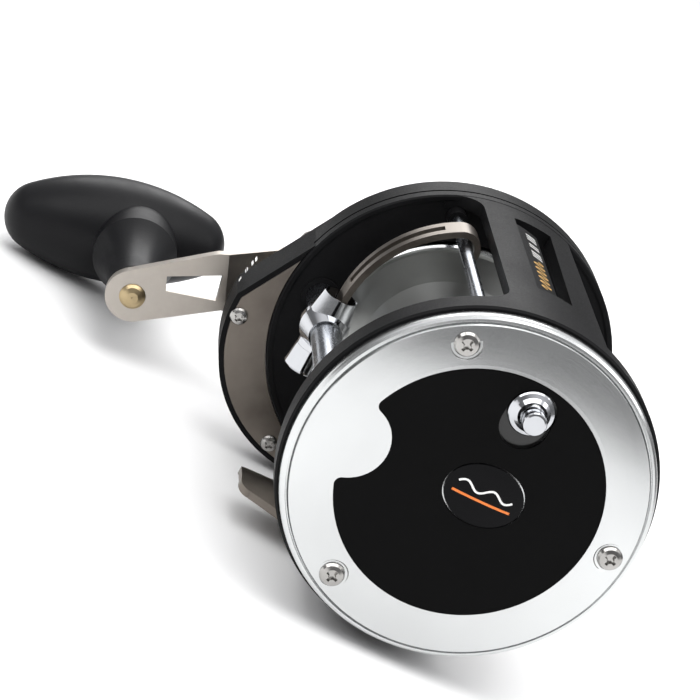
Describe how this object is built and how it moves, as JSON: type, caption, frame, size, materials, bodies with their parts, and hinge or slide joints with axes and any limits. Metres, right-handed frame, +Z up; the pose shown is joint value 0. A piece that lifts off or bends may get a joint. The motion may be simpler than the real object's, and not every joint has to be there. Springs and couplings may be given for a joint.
{
  "type": "trolling fishing reel",
  "caption": "Level-wind trolling reel with a silver side cover, bare spool, chrome line-guide carriage, star drag and a cranked handle with a black torpedo knob.",
  "frame": {"origin": "centre of the flat land on the underside of the reel foot, where the reel sits on the rod", "axes": "+X from the plain silver side cover towards the handle, along the spool axis; +Y towards the rod tip; +Z up from the rod"},
  "size_m": [0.1725, 0.1541, 0.0922],
  "materials": {
    "graphite_black": "fine textured matte",
    "brushed_silver": "brushed satin",
    "inlay_black": "smooth matte",
    "badge_gloss": "domed gloss",
    "polished_steel": "polished",
    "plain_steel": "turned",
    "chrome": "mirror polished",
    "spool_aluminium": "satin with polished rims",
    "bronze_metal": "satin metallic",
    "brass": "machined",
    "drag_fibre": "woven fibre",
    "nylon": "moulded",
    "arm_metal": "satin anodised",
    "knob_black": "soft satin"
  },
  "bodies": {
    "frame_body": {"frame": "graphite_black", "left_cover": "brushed_silver", "cover_inlay": "inlay_black", "badge": "badge_gloss", "cover_screws": "polished_steel", "left_bearing": "plain_steel", "click_spring": "plain_steel", "gear_plate": "plain_steel", "gear_housing": "graphite_black", "trim_plate": "bronze_metal", "trim_screws": "polished_steel", "housing_screws": "polished_steel", "drive_bushings": "brass", "yoke_posts": "plain_steel", "yoke_springs": "plain_steel", "dog_spring": "plain_steel", "right_bearing": "plain_steel", "worm_tube": "chrome", "worm_bushings": "brass", "guide_bar": "polished_steel", "name_pad": "graphite_black", "reel_foot": "bronze_metal", "foot_screws": "polished_steel"},
    "clicker": {"clicker_button": "chrome", "click_tongue": "plain_steel"},
    "spool_body": {"spool": "spool_aluminium", "spool_shaft": "plain_steel", "clutch_pin": "plain_steel", "click_gear": "plain_steel"},
    "handle": {"drive_shaft": "plain_steel", "main_gear": "brass", "drag_fibre_washers": "drag_fibre", "drag_steel_washers": "plain_steel", "worm_drive_gear": "nylon", "ratchet": "plain_steel", "star_spring_washers": "plain_steel", "handle_sleeve": "polished_steel", "handle_arm": "arm_metal", "handle_nut": "polished_steel", "nut_retainer": "polished_steel", "retainer_screw": "polished_steel", "knob_post": "brass"},
    "star": {"star_drag": "arm_metal"},
    "knob_body": {"knob": "knob_black", "knob_bushings": "brass", "knob_screw": "polished_steel"},
    "dog": {"antireverse_dog": "plain_steel"},
    "yoke": {"pinion_yoke": "nylon"},
    "pinion": {"pinion_gear": "brass"},
    "lever": {"clutch_lever": "graphite_black", "clutch_cam": "plain_steel"},
    "cast_control": {"cast_cap": "arm_metal", "tension_disc": "drag_fibre"},
    "worm": {"worm_shaft": "plain_steel", "worm_gear": "nylon"},
    "carriage_body": {"carriage": "chrome", "pawl": "brass", "pawl_cap": "chrome", "line_guide": "bronze_metal"}
  },
  "joints": [
    {"name": "handle_spin", "type": "hinge", "parent": "frame_body", "child": "handle", "pos_m": [0.068, 0.02304, 0.03494], "axis": [1, 0, 0], "continuous": true},
    {"name": "spool_spin", "type": "hinge", "parent": "frame_body", "child": "spool_body", "pos_m": [0, 0, 0.039], "axis": [1, 0, 0], "continuous": true},
    {"name": "pinion_spin", "type": "hinge", "parent": "yoke", "child": "pinion", "pos_m": [0.044, 0, 0.039], "axis": [1, 0, 0], "continuous": true},
    {"name": "worm_spin", "type": "hinge", "parent": "frame_body", "child": "worm", "pos_m": [0, 0.03532, 0.04056], "axis": [1, 0, 0], "continuous": true},
    {"name": "yoke_slide", "type": "slide", "parent": "frame_body", "child": "yoke", "axis": [1, 0, 0], "range_m": [0, 0.0024]},
    {"name": "clutch_lever_swing", "type": "hinge", "parent": "frame_body", "child": "lever", "pos_m": [0.0556, -0.015, 0.055], "axis": [1, 0, 0], "range_deg": [0, 40]},
    {"name": "star_turn", "type": "hinge", "parent": "handle", "child": "star", "pos_m": [0.059, 0.02304, 0.03494], "axis": [1, 0, 0], "range_deg": [-180, 180]},
    {"name": "knob_spin", "type": "hinge", "parent": "handle", "child": "knob_body", "pos_m": [0.1067, 0.0736, 0.0094], "axis": [1, 0, 0], "continuous": true},
    {"name": "cast_cap_turn", "type": "hinge", "parent": "frame_body", "child": "cast_control", "pos_m": [0.054, 0, 0.039], "axis": [1, 0, 0], "range_deg": [-180, 180]},
    {"name": "dog_swing", "type": "hinge", "parent": "frame_body", "child": "dog", "pos_m": [0.042, 0.027, 0.0484], "axis": [1, 0, 0], "range_deg": [-5.8, 0]},
    {"name": "carriage_slide", "type": "slide", "parent": "frame_body", "child": "carriage_body", "axis": [1, 0, 0], "range_m": [-0.0385, 0.0115]},
    {"name": "clicker_slide", "type": "slide", "parent": "frame_body", "child": "clicker", "axis": [0, 0, -1], "range_m": [0, 0.0034]}
  ],
  "couplings": [
    {"joint": "spool_spin", "follows": "handle_spin", "ratio": -4.2},
    {"joint": "pinion_spin", "follows": "handle_spin", "ratio": -4.2},
    {"joint": "worm_spin", "follows": "handle_spin", "ratio": -2},
    {"joint": "yoke_slide", "follows": "clutch_lever_swing", "m_per_rad": 0.0034377}
  ]
}
